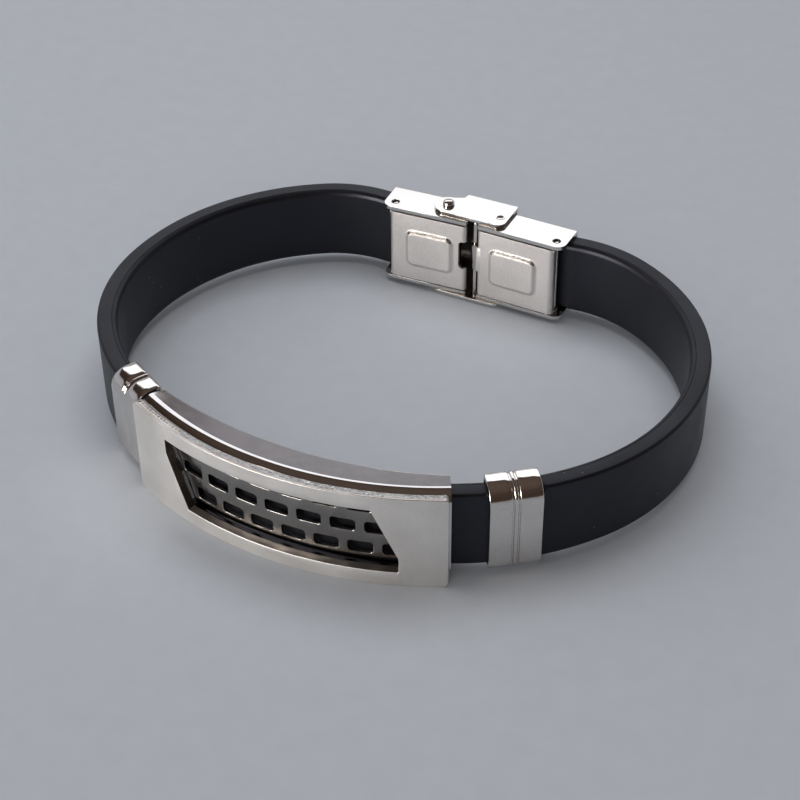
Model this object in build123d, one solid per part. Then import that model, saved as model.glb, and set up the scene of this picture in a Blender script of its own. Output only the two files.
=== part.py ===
from build123d import *
import math
import os

# Rubber bracelet lying on its side: a black silicone strap, a curved name plate at the
# front (-Y) and a stainless steel box clasp at the back (+Y). Millimetres, +Z up.
# Z = 0 is the surface that it lies on, X = Y = 0 is the middle of the whole loop.

# The whole loop
LOOP_WIDTH = 74.4
LOOP_DEPTH = 60.6
LEFT_SIDE_Y = 1.4
RIGHT_SIDE_Y = 3.4
SHOULDER_SHARE = 0.29

# Silicone strap
STRAP_WIDTH = 10.0
STRAP_THICKNESS = 2.45
STRAP_OUTER_ROUND = 0.35
STRAP_SHOULDER = 0.6
STRAP_FLARE = 7.0
FLARE_RADIUS = 6.0

# Curved front plate with its window
PLATE_RADIUS = 43.0
PLATE_LENGTH = 40.6
PLATE_THICKNESS = 1.05
PLATE_CORNER = 0.6
WINDOW_LONG = 29.2
WINDOW_SHORT = 23.2
WINDOW_HEIGHT = 8.6
WINDOW_CLIP = 1.95
WINDOW_SHIFT = 0.3

# Housing, the sleeve behind the plate that the strap runs through
HOUSING_HEIGHT = 11.4
HOUSING_WALL = 0.4
HOUSING_PAST_PLATE = 0.3
HOUSING_LEFT_DEPTH = 3.5
HOUSING_MIDDLE_DEPTH = 5.1
HOUSING_RIGHT_DEPTH = 4.05
HOUSING_FRONT_FOLD = 1.1
HOUSING_REAR_FOLD = 0.45
HOUSING_WINDOW_STEP = 0.15
HOUSING_ROOM = 0.1
STRAP_LEFT_DEPTH = 0.6
STRAP_MIDDLE_DEPTH = 1.55
STRAP_RIGHT_DEPTH = 1.15

# Pierced sheet that shows in the window
SHEET_LENGTH = 31.0
SHEET_HEIGHT = 8.3
SHEET_THICKNESS = 0.35
SHEET_LIFT = 0.45
SHEET_SHIFT = 0.3
HOLE_WIDTH = 2.85
HOLE_HEIGHT = 1.5
HOLE_CORNER = 0.4
HOLE_PITCH = 3.88
ROW_PITCH = 2.95
ROW_COUNT = 3

# Keepers, the two polished bands on the strap
KEEPER_LENGTH = 5.9
KEEPER_WALL = 0.4
KEEPER_ROOM = 0.22
KEEPER_FRONT_ROUND = 1.4
KEEPER_REAR_ROUND = 0.9
KEEPER_GROOVE_WIDTH = 0.25
KEEPER_GROOVE_DEPTH = 0.15
KEEPER_BEAD = 0.5
LEFT_KEEPER_FROM_PLATE = 0.8
RIGHT_KEEPER_FROM_PLATE = 4.3

# Clasp boxes, one folded channel on each end of the strap
CLASP_X = -0.6
CLASP_GAP = 2.0
BOX_LENGTH = 11.8
BOX_DEPTH = 4.9
BOX_BACK_WALL = 0.4
BOX_SIDE_WALL = 0.5
BOX_ROOM = 0.1
BOX_CORNER = 1.2
BOX_FOLD = 0.3
LEFT_BOX_LEAN = 3.0
RIGHT_BOX_LEAN = 1.5
STRAP_IN_BOX = 6.5
STRAP_TO_BACK_WALL = 0.03

# Lids on the wrist side of the boxes, each hinged on a pin
LID_THICKNESS = 0.4
LID_PROUD = 0.1
LID_END_MARGIN = 1.05
LID_ROOM = 0.1
LID_CORNER = 0.8
LID_EAR = 0.62
LID_EAR_THICKNESS = 0.3
PAD_X = 5.05
PAD_LENGTH = 6.9
PAD_HEIGHT = 5.7
PAD_RISE = 0.3
PAD_SLOPE = 0.45
PAD_CORNER = 1.2
NOTCH_DEPTH = 1.0
NOTCH_HEIGHT = 4.1
NOTCH_CORNER = 0.5
NOTCH_LIFT = 0.5
PIN_RADIUS = 0.38
PIN_HOLE_RADIUS = 0.55
PIN_FROM_END = 1.4
PIN_FROM_EDGE = 1.35
PIN_RECESS = 0.15
PIN_FIT = 0.03

# Clasp link, the lever that covers the gap, with its rivet and catch
LINK_WALL = 0.45
LINK_BACK_ROOM = 0.3
LINK_SIDE_ROOM = 0.05
LINK_RIGHT_X = 3.5
LINK_STEP_X = -3.5
LINK_STEP_SLOPE = 0.2
LINK_NEAR_CORNER = 1.0
LINK_TAB_RADIUS = 1.85
RIVET_X = -4.9
RIVET_FROM_BACK = 3.3
RIVET_SHANK = 0.45
RIVET_HEAD = 0.78
RIVET_DOME = 0.65
RIVET_FOOT = 0.1
RIVET_FIT = 0.05
DIMPLE_X = 2.4
DIMPLE_RADIUS = 0.62
DIMPLE_DEPTH = 0.2
BAR_RADIUS = 0.4
BAR_FROM_LID = 0.75
HOOK_ROOM = 0.12
HOOK_HEIGHT = 3.6
HOOK_TIP = 0.2

# Places worked out from the sizes above
BOX_HALF_HEIGHT = STRAP_WIDTH / 2 + BOX_ROOM + BOX_SIDE_WALL
LINK_HALF_HEIGHT = BOX_HALF_HEIGHT + LINK_SIDE_ROOM + LINK_WALL
LID_HALF_HEIGHT = STRAP_WIDTH / 2 + BOX_ROOM - LID_ROOM
MIDDLE_Z = LINK_HALF_HEIGHT + RIVET_FIT / 2 + RIVET_FOOT
PLATE_HEIGHT = 2 * MIDDLE_Z
PLATE_FACE_Y = -LOOP_DEPTH / 2
PLATE_CENTRE_Y = PLATE_FACE_Y + PLATE_RADIUS
PLATE_HALF_ANGLE = math.degrees(PLATE_LENGTH / 2 / PLATE_RADIUS)
PLATE_BACK_RADIUS = PLATE_RADIUS - PLATE_THICKNESS
LINK_BACK_Y = LOOP_DEPTH / 2
BOX_BACK_Y = LINK_BACK_Y - LINK_WALL - LINK_BACK_ROOM
LID_LENGTH = BOX_LENGTH - LID_END_MARGIN
LID_FACE_Y = -BOX_DEPTH - LID_PROUD
PIN_X = BOX_LENGTH - PIN_FROM_END
PIN_Y = -BOX_DEPTH + PIN_FROM_EDGE
RIVET_Y = LINK_BACK_Y - RIVET_FROM_BACK


# Stations: a point in plan with the heading of the strap there, in degrees
def direction(heading):
    return Vector(math.cos(math.radians(heading)), math.sin(math.radians(heading)))


def inward(heading):
    return direction(heading + 90)


def moved_in(station, distance):
    """The same station on a line that runs beside the strap's outer face."""
    point, heading = station
    return point + inward(heading) * distance, heading


def moved_along(station, distance):
    point, heading = station
    return point + direction(heading) * distance, heading


def turned(station, radius, angle):
    """The station after an arc that turns by this angle about a centre this far inward."""
    point, heading = station
    centre = point + inward(heading) * radius
    return centre - inward(heading + angle) * radius, heading + angle


def middle_station(start, end, share=1.0):
    """The station where two tangent arcs meet on the way from start to end.

    The share is how far start reaches along its heading for each unit that end does.
    """
    p, p_heading = start
    q, q_heading = end
    p_way, q_way = direction(p_heading), direction(q_heading)
    chord = q - p
    both = chord.dot(p_way * share + q_way)
    spread = 2 * share * (1 - p_way.dot(q_way))
    reach = (-both + math.sqrt(both * both + spread * chord.dot(chord))) / spread
    point = (p + q * share + (p_way - q_way) * share * reach) * (1 / (1 + share))
    to_point = math.degrees(math.atan2((point - p).Y, (point - p).X))
    turn = (to_point - p_heading + 180) % 360 - 180
    return point, p_heading + 2 * turn


def edge_between(start, end):
    """A straight line, or an arc that leaves start along its heading."""
    turn = (end[1] - start[1] + 180) % 360 - 180
    if abs(turn) < 0.01:
        return Line(start[0], end[0])
    return TangentArc(start[0], end[0], tangent=direction(start[1]))


def strip_face(stations, near, far):
    """The plan face between two lines beside a row of stations."""
    first = [moved_in(station, near) for station in stations]
    second = [moved_in(station, far) for station in stations]
    edges = [edge_between(a, b) for a, b in zip(first, first[1:])]
    edges += [edge_between(a, b) for a, b in zip(second, second[1:])]
    edges += [Line(first[0][0], second[0][0]), Line(first[-1][0], second[-1][0])]
    return make_face(edges)


def upright(face, height):
    """A plan face made a solid of this height about the middle level."""
    return extrude(Pos(0, 0, MIDDLE_Z - height / 2) * face, height)


def box_place(side):
    """The frame of a clasp box: X leads away from the gap, Y = 0 is its back face."""
    lean = LEFT_BOX_LEAN if side == "left" else -RIGHT_BOX_LEAN
    sign = -1 if side == "left" else 1
    corner = (CLASP_X + sign * CLASP_GAP / 2, BOX_BACK_Y, MIDDLE_Z)
    return Location(corner, (0, 0, lean))


def on_side(side, solid):
    """A clasp piece drawn for the right box, set on either box."""
    if side == "left":
        solid = mirror(solid, about=Plane.YZ)
    return box_place(side) * solid


def box_station(side, reach):
    """The strap's outer face inside a box, this far from the gap."""
    sign = -1 if side == "left" else 1
    local = Pos(sign * reach, -BOX_BACK_WALL - STRAP_TO_BACK_WALL, 0)
    point = (box_place(side) * local).position
    heading = 180 + LEFT_BOX_LEAN if side == "left" else 180 - RIGHT_BOX_LEAN
    return Vector(point.X, point.Y), heading


def plate_end(sign, depth, past):
    """A point this far behind the plate's back face and past its radial end."""
    radius = PLATE_BACK_RADIUS - depth
    angle = sign * (math.radians(PLATE_HALF_ANGLE) + past / PLATE_BACK_RADIUS)
    return Vector(radius * math.sin(angle), PLATE_CENTRE_Y - radius * math.cos(angle))


def bow(left_depth, middle_depth, right_depth, past=0):
    """Three stations behind the plate: its left end, its middle and its right end."""
    middle = Vector(0, PLATE_FACE_Y + PLATE_THICKNESS + middle_depth)
    left = plate_end(-1, left_depth, past)
    right = plate_end(1, right_depth, past)
    left_heading = 2 * math.degrees(math.atan2(middle.Y - left.Y, -left.X))
    right_heading = 2 * math.degrees(math.atan2(right.Y - middle.Y, right.X))
    return [(left, left_heading), (middle, 0), (right, right_heading)]


def strap_bow():
    return bow(STRAP_LEFT_DEPTH, STRAP_MIDDLE_DEPTH, STRAP_RIGHT_DEPTH)


def strap_stations():
    """The strap's outer face all the way round, from the left box to the right box."""
    left_box = box_station("left", BOX_LENGTH)
    right_box = box_station("right", BOX_LENGTH)
    left_flare = turned(left_box, -FLARE_RADIUS, -STRAP_FLARE)
    right_flare = turned(right_box, -FLARE_RADIUS, STRAP_FLARE)
    left_side = (Vector(-LOOP_WIDTH / 2, LEFT_SIDE_Y), 270)
    right_side = (Vector(LOOP_WIDTH / 2, RIGHT_SIDE_Y), 90)
    left_plate, middle, right_plate = strap_bow()
    return [
        box_station("left", BOX_LENGTH - STRAP_IN_BOX),
        left_box,
        left_flare,
        middle_station(left_flare, left_side, SHOULDER_SHARE),
        left_side,
        middle_station(left_side, left_plate),
        left_plate,
        middle,
        right_plate,
        middle_station(right_plate, right_side),
        right_side,
        middle_station(right_side, right_flare, 1 / SHOULDER_SHARE),
        right_flare,
        right_box,
        box_station("right", BOX_LENGTH - STRAP_IN_BOX),
    ]


def station_along(start, end, distance):
    """The station this far along the arc from start to end, or back from end if negative."""
    turn = math.radians((end[1] - start[1] + 180) % 360 - 180)
    radius = (end[0] - start[0]).length / (2 * math.sin(turn / 2))
    heading = (start if distance > 0 else end)[1] + math.degrees(distance / radius)
    centre = start[0] + inward(start[1]) * radius
    return centre - inward(heading) * radius, heading


def rim_edges(body, stations, distance):
    """The top and bottom edges of a strip along one of its two faces."""
    points = [moved_in(station, distance)[0] for station in stations]
    levels = body.edges().group_by(Axis.Z)
    rims = levels[0] + levels[-1]

    def on_line(vertex):
        place = Vector(vertex.X, vertex.Y)
        return any((place - point).length < 0.001 for point in points)

    return [edge for edge in rims if all(on_line(vertex) for vertex in edge.vertices())]


def make_strap():
    """One strip of silicone, open where the clasp joins its two ends."""
    stations = strap_stations()
    strap = upright(strip_face(stations, 0, STRAP_THICKNESS), STRAP_WIDTH)
    strap = fillet(rim_edges(strap, stations, 0), STRAP_OUTER_ROUND)
    return fillet(rim_edges(strap, stations, STRAP_THICKNESS), STRAP_SHOULDER)


def plate_strip(near_radius, far_radius, half_angle):
    """The plan face between two arcs about the plate's centre, with radial ends."""
    def station(sign, radius):
        angle = math.radians(sign * half_angle)
        x, y = radius * math.sin(angle), PLATE_CENTRE_Y - radius * math.cos(angle)
        return Vector(x, y), sign * half_angle

    return strip_face([station(-1, near_radius), station(1, near_radius)], 0,
                      near_radius - far_radius)


def window_outline(scale, y, step):
    """The window's slanted outline at one depth, as wide as radial walls make it there."""
    long_end, short_end = WINDOW_LONG / 2 + step, WINDOW_SHORT / 2 + step
    top = WINDOW_HEIGHT / 2 + step
    clip = top - WINDOW_CLIP
    corners = [(-long_end, top), (-long_end, clip), (-short_end, -top),
               (long_end, -top), (long_end, -clip), (short_end, top)]
    points = [Vector((x + WINDOW_SHIFT) * scale, y, MIDDLE_Z + z) for x, z in corners]
    return Wire(Polyline(*points, close=True).edges())


def window_cutter(step):
    """A wedge with the window's outline, narrowing towards the plate's centre of curve."""
    outlines = []
    for y in (PLATE_FACE_Y - PLATE_THICKNESS, PLATE_FACE_Y + 3 * PLATE_THICKNESS + HOUSING_WALL):
        scale = (PLATE_CENTRE_Y - y) / PLATE_RADIUS
        outlines.append(window_outline(scale, y, step))
    return Solid.make_loft(outlines, ruled=True)


def make_front_plate():
    plate = upright(plate_strip(PLATE_RADIUS, PLATE_BACK_RADIUS, PLATE_HALF_ANGLE), PLATE_HEIGHT)
    rims = plate.edges().group_by(Axis.Z)
    corners = [edge for edge in rims[0] + rims[-1] if edge.geom_type == GeomType.LINE]
    return fillet(corners, PLATE_CORNER) - window_cutter(0)


def housing_front(depth):
    """The sleeve's front at one depth behind the plate."""
    return bow(depth, depth, depth, HOUSING_PAST_PLATE)


def housing_rear(wall):
    """The sleeve's back, less this much wall."""
    return bow(HOUSING_LEFT_DEPTH - wall, HOUSING_MIDDLE_DEPTH - wall,
               HOUSING_RIGHT_DEPTH - wall, HOUSING_PAST_PLATE)


def carried_on(stations):
    """The same row with each end carried on straight, past the end of the sleeve."""
    overrun = HOUSING_MIDDLE_DEPTH
    before, after = moved_along(stations[0], -overrun), moved_along(stations[-1], overrun)
    return [before, *stations, after]


def lens_face(front, rear):
    """The plan face between two rows of stations that need not run side by side."""
    edges = [edge_between(a, b) for a, b in zip(front, front[1:])]
    edges += [edge_between(a, b) for a, b in zip(rear, rear[1:])]
    edges += [Line(front[0][0], rear[0][0]), Line(front[-1][0], rear[-1][0])]
    return make_face(edges)


def make_plate_housing():
    """A sleeve as deep as the strap at its ends and deeper in the middle."""
    gap = HOUSING_ROOM / 2
    front = housing_front(gap)
    rear = housing_rear(0)
    shell = upright(lens_face(front, rear), HOUSING_HEIGHT)
    shell = fillet(rim_edges(shell, front, 0), HOUSING_FRONT_FOLD)
    shell = fillet(rim_edges(shell, rear, 0), HOUSING_REAR_FOLD)
    wall = HOUSING_WALL
    inner_front = carried_on(housing_front(gap + wall))
    inner_rear = carried_on(housing_rear(wall))
    hollow = upright(lens_face(inner_front, inner_rear), HOUSING_HEIGHT - 2 * wall)
    hollow = fillet(rim_edges(hollow, inner_front, 0), HOUSING_FRONT_FOLD - wall)
    return shell - hollow - window_cutter(HOUSING_WINDOW_STEP)


def make_grid_sheet():
    """A strip pierced with staggered rows of rounded slots, behind the window."""
    front = PLATE_BACK_RADIUS - HOUSING_WALL - HOUSING_ROOM
    half_angle = math.degrees(SHEET_LENGTH / 2 / front)
    level = Pos(0, 0, SHEET_LIFT)
    sheet = level * upright(plate_strip(front, front - SHEET_THICKNESS, half_angle), SHEET_HEIGHT)
    slot = extrude(RectangleRounded(HOLE_WIDTH, HOLE_HEIGHT, HOLE_CORNER), 2, both=True)
    cutters = []
    for row in range(ROW_COUNT):
        z = MIDDLE_Z + SHEET_LIFT + (row - (ROW_COUNT - 1) / 2) * ROW_PITCH
        stagger = 0 if row % 2 == ROW_COUNT // 2 % 2 else 0.5
        count = math.ceil(SHEET_LENGTH / 2 / HOLE_PITCH)
        for number in range(-count, count):
            along = (number + stagger) * HOLE_PITCH
            if abs(along) + HOLE_WIDTH / 2 > SHEET_LENGTH / 2 - HOLE_CORNER:
                continue
            turn = math.degrees(along / front)
            around = Location((0, PLATE_CENTRE_Y, z), (0, 0, turn))
            cutters.append(around * Pos(0, -front, 0) * Rot(90, 0, 0) * slot)
    centre = Pos(0, PLATE_CENTRE_Y, 0)
    shift = centre * Rot(0, 0, math.degrees(SHEET_SHIFT / front)) * Pos(0, -PLATE_CENTRE_Y, 0)
    return shift * (sheet - cutters)


def make_keeper(station):
    """A polished band round the strap, with a fine bead between two grooves."""
    depth = STRAP_THICKNESS + 2 * (KEEPER_ROOM + KEEPER_WALL)
    height = STRAP_WIDTH + 2 * (KEEPER_ROOM + KEEPER_WALL)

    def ring(inset, length, front_round, rear_round):
        block = Box(length, depth - 2 * inset, height - 2 * inset)
        along = block.edges().filter_by(Axis.X).sort_by(Axis.Y)
        block = fillet(along[:2], front_round)
        along = block.edges().filter_by(Axis.X).sort_by(Axis.Y)
        return fillet(along[-2:], rear_round)

    wall = KEEPER_WALL
    band = ring(0, KEEPER_LENGTH, KEEPER_FRONT_ROUND, KEEPER_REAR_ROUND)
    for side in (-1, 1):
        place = Pos(side * (KEEPER_BEAD + KEEPER_GROOVE_WIDTH) / 2, 0, 0)
        outer = Box(KEEPER_GROOVE_WIDTH, 2 * depth, 2 * height)
        core = ring(KEEPER_GROOVE_DEPTH, 2 * KEEPER_GROOVE_WIDTH,
                    KEEPER_FRONT_ROUND - KEEPER_GROOVE_DEPTH,
                    KEEPER_REAR_ROUND - KEEPER_GROOVE_DEPTH)
        band -= place * (outer - core)
    band -= ring(wall, 2 * KEEPER_LENGTH, KEEPER_FRONT_ROUND - wall, KEEPER_REAR_ROUND - wall)
    point, heading = moved_in(station, STRAP_THICKNESS / 2)
    return Location((point.X, point.Y, MIDDLE_Z), (0, 0, heading)) * band


def make_clasp_box(side):
    """A folded channel, open to the wrist, with holes for the lid's pin."""
    half = BOX_HALF_HEIGHT
    block = Pos(BOX_LENGTH / 2, -BOX_DEPTH / 2, 0) * Box(BOX_LENGTH, BOX_DEPTH, 2 * half)
    back = block.edges().filter_by(Axis.X).sort_by(Axis.Y)[-2:]
    block = fillet(back, BOX_FOLD)
    near_corner = block.edges().filter_by(Axis.Z).sort_by(Axis.X)[-2:].sort_by(Axis.Y)[:1]
    block = fillet(near_corner, BOX_CORNER)
    inner = half - BOX_SIDE_WALL
    hollow = Pos(BOX_LENGTH / 2, -BOX_BACK_WALL - BOX_DEPTH / 2, 0) * Box(
        2 * BOX_LENGTH, BOX_DEPTH, 2 * inner)
    block -= hollow
    block -= Pos(PIN_X, PIN_Y, 0) * Cylinder(PIN_HOLE_RADIUS, 4 * half)
    block = on_side(side, block)
    if side == "left":
        block -= Pos(RIVET_X, RIVET_Y, MIDDLE_Z) * Cylinder(RIVET_SHANK + RIVET_FIT, 4 * half)
    return block


def make_pad():
    """The raised pad pressed into a lid, with sloping sides."""
    low = RectangleRounded(PAD_LENGTH, PAD_HEIGHT, PAD_CORNER)
    high = RectangleRounded(PAD_LENGTH - 2 * PAD_SLOPE, PAD_HEIGHT - 2 * PAD_SLOPE,
                            PAD_CORNER - PAD_SLOPE)
    pad = loft([low, Pos(0, 0, PAD_RISE) * high], ruled=True)
    return Pos(PAD_X, LID_FACE_Y, 0) * Rot(90, 0, 0) * pad


def make_ear():
    """A tab that runs back from the lid and turns on the lid's pin."""
    start_x = PIN_X - LID_EAR
    front_y = LID_FACE_Y + LID_THICKNESS / 2
    tab = make_face([
        Line((start_x, front_y), (start_x, PIN_Y)),
        ThreePointArc((start_x, PIN_Y), (PIN_X, PIN_Y + LID_EAR), (PIN_X + LID_EAR, PIN_Y)),
        Line((PIN_X + LID_EAR, PIN_Y), (LID_LENGTH, front_y)),
        Line((LID_LENGTH, front_y), (start_x, front_y)),
    ])
    return extrude(tab, LID_EAR_THICKNESS)


def make_hook():
    """The tongue of the right lid that reaches round the catch bar, open to the back."""
    inner = BAR_RADIUS + HOOK_ROOM
    outer = inner + LID_THICKNESS
    bar = (-BAR_FROM_LID, LID_FACE_Y + outer)
    face_y = LID_FACE_Y
    back_y = face_y + LID_THICKNESS
    tip_y = bar[1] + HOOK_TIP
    bend = math.sqrt(0.5)
    outline = make_face([
        Line((LID_CORNER, face_y), (bar[0], face_y)),
        ThreePointArc((bar[0], face_y), (bar[0] - outer * bend, bar[1] - outer * bend),
                      (bar[0] - outer, bar[1])),
        Line((bar[0] - outer, bar[1]), (bar[0] - outer, tip_y)),
        Line((bar[0] - outer, tip_y), (bar[0] - inner, tip_y)),
        Line((bar[0] - inner, tip_y), (bar[0] - inner, bar[1])),
        ThreePointArc((bar[0] - inner, bar[1]), (bar[0] - inner * bend, bar[1] - inner * bend),
                      (bar[0], back_y)),
        Line((bar[0], back_y), (LID_CORNER, back_y)),
        Line((LID_CORNER, back_y), (LID_CORNER, face_y)),
    ])
    return extrude(Pos(0, 0, NOTCH_LIFT - HOOK_HEIGHT / 2) * outline, HOOK_HEIGHT)


def bar_point():
    """Where the catch bar stands, in plan."""
    local = Pos(-BAR_FROM_LID, LID_FACE_Y + LID_THICKNESS + HOOK_ROOM + BAR_RADIUS, 0)
    return (box_place("right") * local).position


def make_lid(side):
    """The lid with its raised pad and two ears, and the hook or the notch at the gap."""
    middle_y = LID_FACE_Y + LID_THICKNESS / 2
    lid = Pos(LID_LENGTH / 2, middle_y, 0) * Box(LID_LENGTH, LID_THICKNESS, 2 * LID_HALF_HEIGHT)
    gap_corners = lid.edges().filter_by(Axis.Y).sort_by(Axis.X)[:2]
    lid = fillet(gap_corners, LID_CORNER)
    if side == "left":
        notch = Box(2 * NOTCH_DEPTH, 4 * LID_THICKNESS, NOTCH_HEIGHT)
        deep = notch.edges().filter_by(Axis.Y).sort_by(Axis.X)[-2:]
        lid -= Pos(0, middle_y, NOTCH_LIFT) * fillet(deep, NOTCH_CORNER)
    else:
        lid += make_hook()
    lid += make_pad()
    ear = make_ear()
    lid += Pos(0, 0, LID_HALF_HEIGHT - LID_EAR_THICKNESS) * ear
    lid += Pos(0, 0, -LID_HALF_HEIGHT) * ear
    lid -= Pos(PIN_X, PIN_Y, 0) * Cylinder(PIN_RADIUS + PIN_FIT, 4 * LID_HALF_HEIGHT)
    return on_side(side, lid)


def make_lid_pin(side):
    length = 2 * (BOX_HALF_HEIGHT - PIN_RECESS)
    return on_side(side, Pos(PIN_X, PIN_Y, 0) * Cylinder(PIN_RADIUS, length))


def make_clasp_link():
    """The lever: two ears beside the boxes, joined by a plate over the gap's back."""
    half = LINK_HALF_HEIGHT
    near_y = RIVET_Y - LINK_TAB_RADIUS
    far_y = RIVET_Y + LINK_TAB_RADIUS
    step_y = LINK_BACK_Y - 2 * LINK_WALL
    ear = make_face([
        ThreePointArc((RIVET_X, far_y), (RIVET_X - LINK_TAB_RADIUS, RIVET_Y), (RIVET_X, near_y)),
        Line((RIVET_X, near_y), (LINK_RIGHT_X, near_y)),
        Line((LINK_RIGHT_X, near_y), (LINK_RIGHT_X, LINK_BACK_Y)),
        Line((LINK_RIGHT_X, LINK_BACK_Y), (LINK_STEP_X, LINK_BACK_Y)),
        Line((LINK_STEP_X, LINK_BACK_Y), (LINK_STEP_X - LINK_STEP_SLOPE, step_y)),
        Line((LINK_STEP_X - LINK_STEP_SLOPE, step_y), (RIVET_X, far_y)),
    ])
    link = upright(ear, 2 * half)
    near_corner = link.edges().filter_by(Axis.Z).sort_by(Axis.X)[-2:].sort_by(Axis.Y)[:1]
    link = fillet(near_corner, LINK_NEAR_CORNER)
    width = LINK_RIGHT_X - RIVET_X + 2 * LINK_TAB_RADIUS
    inner = 2 * (half - LINK_WALL)
    hollow = Box(4 * width, 2 * LOOP_DEPTH, inner)
    link -= Pos(0, LINK_BACK_Y - LINK_WALL - LOOP_DEPTH, MIDDLE_Z) * hollow
    link -= Pos(LINK_STEP_X - 2 * width - LINK_STEP_SLOPE, LINK_BACK_Y, MIDDLE_Z) * hollow
    dimple = Cone(DIMPLE_RADIUS / 2, DIMPLE_RADIUS, DIMPLE_DEPTH)
    for side in (-1, 1):
        turned = dimple if side > 0 else Rot(180, 0, 0) * dimple
        dimple_z = MIDDLE_Z + side * (half - DIMPLE_DEPTH / 2)
        link -= Pos(DIMPLE_X, RIVET_Y, dimple_z) * turned
    rivet_hole = Cylinder(RIVET_SHANK + RIVET_FIT, 4 * half)
    return link - Pos(RIVET_X, RIVET_Y, MIDDLE_Z) * rivet_hole


def make_catch_bar():
    bar = bar_point()
    length = 2 * (LINK_HALF_HEIGHT - LINK_WALL)
    return Pos(bar.X, bar.Y, MIDDLE_Z) * Cylinder(BAR_RADIUS, length)


def make_link_rivet():
    """A round rivet with a domed head above and a flat foot below."""
    half = LINK_HALF_HEIGHT
    gap = RIVET_FIT / 2
    ball = (RIVET_HEAD ** 2 + RIVET_DOME ** 2) / (2 * RIVET_DOME)
    dome = Pos(0, 0, half + gap + RIVET_DOME - ball) * Sphere(ball)
    dome &= Pos(0, 0, half + gap + RIVET_DOME / 2) * Cylinder(RIVET_HEAD, RIVET_DOME)
    foot = Pos(0, 0, -half - gap - RIVET_FOOT / 2) * Cylinder(RIVET_HEAD, RIVET_FOOT)
    shank = Cylinder(RIVET_SHANK, 2 * (half + gap) + RIVET_FOOT)
    return Pos(RIVET_X, RIVET_Y, MIDDLE_Z) * (shank + dome + foot)


def build():
    """Every node of the bracelet by name."""
    stations = strap_stations()
    left_plate, _, right_plate = strap_bow()
    left_reach = -LEFT_KEEPER_FROM_PLATE - KEEPER_LENGTH / 2
    right_reach = RIGHT_KEEPER_FROM_PLATE + KEEPER_LENGTH / 2
    before_plate = stations[stations.index(left_plate) - 1]
    after_plate = stations[stations.index(right_plate) + 1]
    left_keeper = station_along(before_plate, left_plate, left_reach)
    right_keeper = station_along(right_plate, after_plate, right_reach)
    nodes = {
        "strap": make_strap(),
        "front_plate": make_front_plate(),
        "plate_housing": make_plate_housing(),
        "grid_sheet": make_grid_sheet(),
        "keeper_left": make_keeper(left_keeper),
        "keeper_right": make_keeper(right_keeper),
        "clasp_link": make_clasp_link(),
        "link_rivet": make_link_rivet(),
        "catch_bar": make_catch_bar(),
    }
    for side in ("left", "right"):
        nodes["clasp_box_" + side] = make_clasp_box(side)
        nodes["clasp_lid_" + side] = make_lid(side)
        nodes["lid_pin_" + side] = make_lid_pin(side)
    return nodes


if __name__ == "__main__":
    os.makedirs("parts", exist_ok=True)
    for name, solid in build().items():
        export_step(solid, "parts/" + name + ".step")
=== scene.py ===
import math
from contextlib import contextmanager

import bmesh
import bpy
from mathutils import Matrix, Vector, noise


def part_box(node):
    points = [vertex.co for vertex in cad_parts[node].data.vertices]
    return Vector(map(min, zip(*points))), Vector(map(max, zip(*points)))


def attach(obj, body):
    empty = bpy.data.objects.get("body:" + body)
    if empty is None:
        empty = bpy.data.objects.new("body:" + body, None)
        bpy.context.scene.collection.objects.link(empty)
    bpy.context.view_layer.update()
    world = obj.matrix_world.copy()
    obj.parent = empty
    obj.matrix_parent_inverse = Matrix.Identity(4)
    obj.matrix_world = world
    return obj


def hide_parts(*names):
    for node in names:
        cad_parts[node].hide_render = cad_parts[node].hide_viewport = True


# Rubber bracelet: a moulded silicone strap, a curved steel front plate with a pierced
# sheet in its window, two polished keepers and a folding box clasp.
# Sizes and places are millimetres in the part's frame. Meshes are written in metres.
MM = 0.001
CORNERS = ((-1, -1), (1, -1), (1, 1), (-1, 1))

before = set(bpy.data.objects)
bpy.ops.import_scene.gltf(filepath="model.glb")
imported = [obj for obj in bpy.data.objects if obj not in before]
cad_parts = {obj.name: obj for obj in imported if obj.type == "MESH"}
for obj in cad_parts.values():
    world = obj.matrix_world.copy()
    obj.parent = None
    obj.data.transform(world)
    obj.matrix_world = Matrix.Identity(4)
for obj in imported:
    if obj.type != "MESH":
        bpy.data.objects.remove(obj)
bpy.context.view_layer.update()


def node_box(name):
    """A frame node's lowest and highest corner in millimetres."""
    low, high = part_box(name)
    return low / MM, high / MM


PLATE_LOW, PLATE_HIGH = node_box("front_plate")
STRAP_LOW, STRAP_HIGH = node_box("strap")
LINK_LOW, LINK_HIGH = node_box("clasp_link")
MIDDLE_Z = (PLATE_LOW.z + PLATE_HIGH.z) / 2

# Strap
STRAP_WIDTH = STRAP_HIGH.z - STRAP_LOW.z
STRAP_THICKNESS = 2.45
STRAP_OUTER_ROUND = 0.35
PARTING_DEPTH = 1.77
PARTING_WIDTH = 0.09
PARTING_CUT = 0.07
PARTING_STEP = 0.01
PARTING_ROUND = 0.03
INNER_BAND = 0.16
INNER_DROP = 0.2
INNER_ROUND = 0.35
INNER_FACE_DROP = 0.62
INNER_FACE_ROUND = 0.5
STRAP_SWAY = 0.03
STRAP_STEP = 0.25
SWAY_PER_STEP = 0.04
LEFT_SIDE_Y = 1.4
RIGHT_SIDE_Y = 3.4
SHOULDER_SHARE = 0.29
STRAP_FLARE = 7.0
FLARE_RADIUS = 6.0
STRAP_IN_BOX = 6.5
STRAP_LEFT_DEPTH = 0.6
STRAP_MIDDLE_DEPTH = 1.55
STRAP_RIGHT_DEPTH = 1.15

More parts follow.
